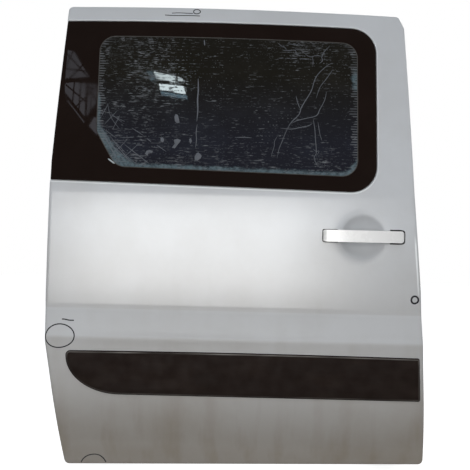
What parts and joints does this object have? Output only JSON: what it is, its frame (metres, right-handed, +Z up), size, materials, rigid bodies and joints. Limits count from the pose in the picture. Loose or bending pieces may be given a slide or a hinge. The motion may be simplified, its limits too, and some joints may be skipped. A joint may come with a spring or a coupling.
{
  "type": "van sliding door",
  "caption": "Sliding side door of a van with a fixed dark window, a side moulding, a pull handle that hinges outwards, and runner arms with rollers on its inner side.",
  "frame": {"origin": "on the flat top face of the lower runner arm's plate, at its middle", "axes": "+X to the front of the van, +Y into the van, +Z up; the painted side faces -Y"},
  "size_m": [1.0975, 0.2985, 1.3566],
  "materials": {
    "white_paint": "gloss",
    "white_paint_inside": "satin",
    "privacy_glass": "gloss",
    "adhesive": "matte",
    "grained_plastic": "grained",
    "gasket_rubber": "matte",
    "painted_plastic": "gloss",
    "zinc_steel": "zinc plated",
    "primed_steel": "satin",
    "seal_rubber": "matte",
    "black_steel": "satin",
    "roller_plastic": "smooth",
    "latch_steel": "zinc plated",
    "dowel_plastic": "smooth"
  },
  "bodies": {
    "door": {"outer_skin": "white_paint", "shut_faces": "white_paint_inside", "inner_panel": "white_paint_inside", "window_frame": "white_paint_inside", "window_glass": "privacy_glass", "glass_adhesive": "adhesive", "side_moulding": "grained_plastic", "handle_gaskets": "gasket_rubber", "handle_front_mount": "painted_plastic", "handle_rear_mount": "painted_plastic", "handle_pin": "zinc_steel", "impact_beam": "primed_steel", "beam_brackets": "primed_steel", "waist_rail": "white_paint_inside", "weatherstrip": "seal_rubber", "upper_arm": "black_steel", "upper_roller": "roller_plastic", "middle_arm": "black_steel", "middle_carriage": "zinc_steel", "middle_guide_rollers": "roller_plastic", "middle_load_roller": "roller_plastic", "lower_arm": "black_steel", "lower_guide_rollers": "roller_plastic", "lower_load_roller": "roller_plastic", "front_latch": "latch_steel", "rear_latch": "latch_steel", "latch_relay": "latch_steel", "latch_rods": "zinc_steel", "front_dowels": "dowel_plastic", "rear_wedge": "dowel_plastic", "bump_stops": "seal_rubber", "hole_plugs": "seal_rubber"},
    "grip": {"handle_grip": "painted_plastic"}
  },
  "joints": [
    {"name": "handle_pull", "type": "hinge", "parent": "door", "child": "grip", "pos_m": [-0.01249, -0.13791, 0.595], "axis": [0, 0, 1], "range_deg": [0, 12], "stiffness_Nm_per_rad": 3, "springref_deg": -5.73}
  ]
}
